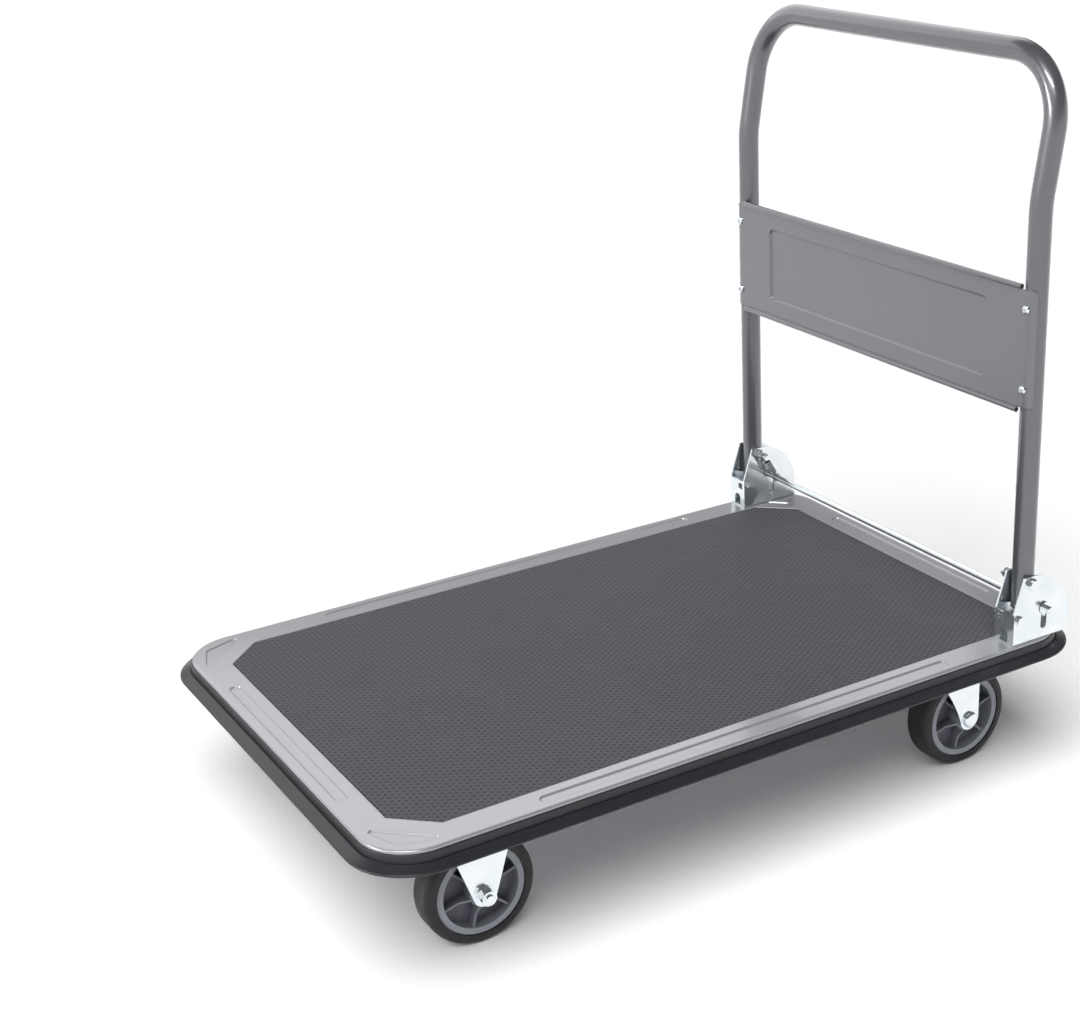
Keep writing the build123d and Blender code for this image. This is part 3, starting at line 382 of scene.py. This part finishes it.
along = (ROD - PIVOT).normalized()
outward = Vector((0, 1, 0))
aside = outward.cross(along)
span = (ROD - PIVOT).length
coil = span - 2 * COIL_END
coil_steps = STEPS_PER_TURN * TURNS + STEPS_PER_TURN // 2
for side, y in (("left", SPRING_Y), ("right", -SPRING_Y)):
    start = PIVOT + Vector((0, y, 0))
    path = []
    for step in range(STEPS_PER_TURN + 1):
        angle = radians(TOP_HOOK_START + HOOK_SWEEP * step / STEPS_PER_TURN)
        ring = along * (HOOK_RADIUS * cos(angle)) + aside * (HOOK_RADIUS * sin(angle))
        path.append(start + ring)
    path.append(start + along * (COIL_END - HOOK_TAIL))
    for step in range(coil_steps + 1):
        angle = 2 * pi * step / STEPS_PER_TURN
        swing = outward * (COIL_RADIUS * cos(angle)) + aside * (COIL_RADIUS * sin(angle))
        path.append(start + along * (COIL_END + coil * step / coil_steps) + swing)
    path.append(start + along * (span - COIL_END + HOOK_TAIL))
    for step in range(STEPS_PER_TURN + 1):
        angle = radians(BOTTOM_HOOK_START + HOOK_SWEEP * step / STEPS_PER_TURN)
        ring = along * (HOOK_RADIUS * cos(angle)) + aside * (HOOK_RADIUS * sin(angle))
        path.append(start + along * span + ring)
    wire = bpy.data.curves.new(f"{side}_spring_wire", "CURVE")
    wire.dimensions = "3D"
    wire.bevel_depth = WIRE_RADIUS
    wire.bevel_resolution = 2
    wire.use_fill_caps = True
    spline = wire.splines.new("POLY")
    spline.points.add(len(path) - 1)
    for point, spot in zip(spline.points, path):
        point.co = (*spot, 1.0)
    bent = bpy.data.objects.new(f"{side}_spring_bend", wire)
    bpy.context.scene.collection.objects.link(bent)
    wound = bpy.data.meshes.new_from_object(
        bent.evaluated_get(bpy.context.evaluated_depsgraph_get()))
    bpy.data.objects.remove(bent)
    wound.materials.clear()
    wound.materials.append(finishes["spring_steel"])
    for face in wound.polygons:
        face.use_smooth = True
    spring = bpy.data.objects.new(f"{side}_wound_spring", wound)
    bpy.context.scene.collection.objects.link(spring)
    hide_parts(f"{side}_return_spring")
    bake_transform(spring)

# White floor that takes the cart's shadow, lifted a little where it is seen or mirrored
FLOOR_SIZE = 60.0
FLOOR_LIFT = 0.02
bpy.ops.mesh.primitive_plane_add(size=FLOOR_SIZE, location=(0, 0, 0))
floor = bpy.context.object
floor.name = "studio_floor"
floor_paper, tree = new_finish("floor_white_paper")
rays = add(tree, "ShaderNodeLightPath")
mirrored = add(tree, "ShaderNodeMath", {
    0: rays.outputs["Is Camera Ray"], 1: rays.outputs["Is Glossy Ray"]}, operation="MAXIMUM")
seen = add(tree, "ShaderNodeMath", {
    0: mirrored.outputs["Value"], 1: rays.outputs["Is Transmission Ray"]}, operation="MAXIMUM")
lift = add(tree, "ShaderNodeMath", {
    0: seen.outputs["Value"], 1: FLOOR_LIFT}, operation="MULTIPLY")
paper = add(tree, "ShaderNodeBsdfPrincipled", {
    "Base Color": linear("#FDFDFE"), "Roughness": 0.8, "Specular IOR Level": 0.0,
    "Emission Color": WHITE, "Emission Strength": lift.outputs["Value"]})
add(tree, "ShaderNodeOutputMaterial", {"Surface": paper.outputs["BSDF"]})
floor.data.materials.append(floor_paper)

# The room: white walls near the floor and a dim ceiling. Dull surfaces get less of both, so the
# shadow stays deep, and the camera sees plain white
WALL_FOOT, WALL_TOP = 0.06, 0.36  # heights on a unit sphere
WALL_LEVEL, CEILING_LEVEL = 1.0, 0.14
DULL_PART, MIRRORED_PART = 0.8, 1.0
world = bpy.data.worlds.new("studio_room")
bpy.context.scene.world = world
world.use_nodes = True
tree = world.node_tree
tree.nodes.clear()
direction = add(tree, "ShaderNodeTexCoord").outputs["Generated"]
height = add(tree, "ShaderNodeSeparateXYZ", {0: direction}).outputs["Z"]
wall = add(tree, "ShaderNodeMapRange", {
    "Value": height, "From Min": WALL_FOOT, "From Max": WALL_TOP,
    "To Min": WALL_LEVEL, "To Max": CEILING_LEVEL}, interpolation_type="SMOOTHSTEP")
rays = add(tree, "ShaderNodeLightPath")
mirrored = add(tree, "ShaderNodeMath", {
    0: rays.outputs["Is Glossy Ray"], 1: rays.outputs["Is Transmission Ray"]},
    operation="MAXIMUM")
part = add(tree, "ShaderNodeMapRange", {
    "Value": mirrored.outputs["Value"], "To Min": DULL_PART, "To Max": MIRRORED_PART})
level = add(tree, "ShaderNodeMath", {
    0: wall.outputs["Result"], 1: part.outputs["Result"]}, operation="MULTIPLY")
strength = add(tree, "ShaderNodeMath", {
    0: level.outputs["Value"], 1: rays.outputs["Is Camera Ray"]}, operation="MAXIMUM")
room = add(tree, "ShaderNodeBackground", {
    "Color": WHITE, "Strength": strength.outputs["Value"]})
add(tree, "ShaderNodeOutputWorld", {"Surface": room.outputs["Background"]})


def aim(made, centre, target):
    """Put a lamp at a place, facing a point."""
    made.location = centre
    made.rotation_euler = (Vector(target) - Vector(centre)).to_track_quat("-Z", "Y").to_euler()
    bpy.context.scene.collection.objects.link(made)
    return made


def skylight(name, centre, strength, angle):
    """Soft light that falls evenly on the whole floor, from the direction of a place."""
    lamp = bpy.data.lights.new(name, "SUN")
    lamp.energy = strength
    lamp.angle = radians(angle)
    return aim(bpy.data.objects.new(name, lamp), centre, (0, 0, 0))


def softbox(name, centre, target, size, watts):
    """A soft rectangular light that faces a point."""
    lamp = bpy.data.lights.new(name, "AREA")
    lamp.shape = "RECTANGLE"
    lamp.size, lamp.size_y = size
    lamp.energy = watts
    return aim(bpy.data.objects.new(name, lamp), centre, target)


key = skylight("overhead_light", centre=(-1.4, -1.25, 3.0), strength=3.2, angle=46)
key.visible_glossy = False
skylight("front_light", centre=(-2.6, -0.3, 1.6), strength=0.22, angle=50)
# Softboxes that only show in reflections: a broad one behind the cart, rolled so that its lower
# edge rises to the right, and two strips ahead of it
SHEEN_ROLL = -10
sheen_box = softbox(
    "back_softbox", centre=(0.2, 2.6, 2.35), target=(0, 0, 0.2), size=(5.2, 2.0), watts=43.0)
sheen_box.rotation_euler.rotate_axis("Z", radians(SHEEN_ROLL))
high_strip = softbox(
    "high_strip", centre=(-1.3, -0.9, 3.2), target=(0.3, 0, 0.6), size=(1.8, 0.4), watts=48.0)
low_strip = softbox(
    "low_strip", centre=(-2.6, 0.5, 1.75), target=(0.4, -0.2, 0.8), size=(1.8, 0.35), watts=42.0)
for lamp in (sheen_box, high_strip, low_strip):
    lamp.visible_diffuse = False

# Camera at the photograph's place, fitted in millimetres and in pixels of the 1080 by 1016 frame
FRAME_WIDTH, FRAME_HEIGHT = 1080.0, 1016.0
FOCAL_PX = 1876.0
CENTRE_PX = (677.2, 561.4)
SENSOR_WIDTH = 36.0
camera_place = Vector((-1001.0, -1710.7, 1123.2)) * MM
azimuth, elevation, roll = radians(-32.18), radians(23.29), radians(-1.73)
back = Vector((sin(azimuth) * cos(elevation), -cos(azimuth) * cos(elevation), sin(elevation)))
level_right = Vector((cos(azimuth), sin(azimuth), 0))
level_up = back.cross(level_right)
right = level_right * cos(roll) + level_up * sin(roll)
up = level_up * cos(roll) - level_right * sin(roll)
lens = bpy.data.cameras.new("photo_camera")
lens.sensor_fit = "HORIZONTAL"
lens.sensor_width = SENSOR_WIDTH
lens.lens = FOCAL_PX / FRAME_WIDTH * SENSOR_WIDTH
lens.shift_x = (FRAME_WIDTH / 2 - CENTRE_PX[0]) / FRAME_WIDTH
lens.shift_y = (CENTRE_PX[1] - FRAME_HEIGHT / 2) / FRAME_WIDTH
camera = bpy.data.objects.new("photo_camera", lens)
turn = Matrix((right, up, back)).transposed().to_4x4()
camera.matrix_world = Matrix.Translation(camera_place) @ turn
bpy.context.scene.collection.objects.link(camera)
bpy.context.scene.camera = camera
bpy.context.scene.view_settings.view_transform = "Standard"
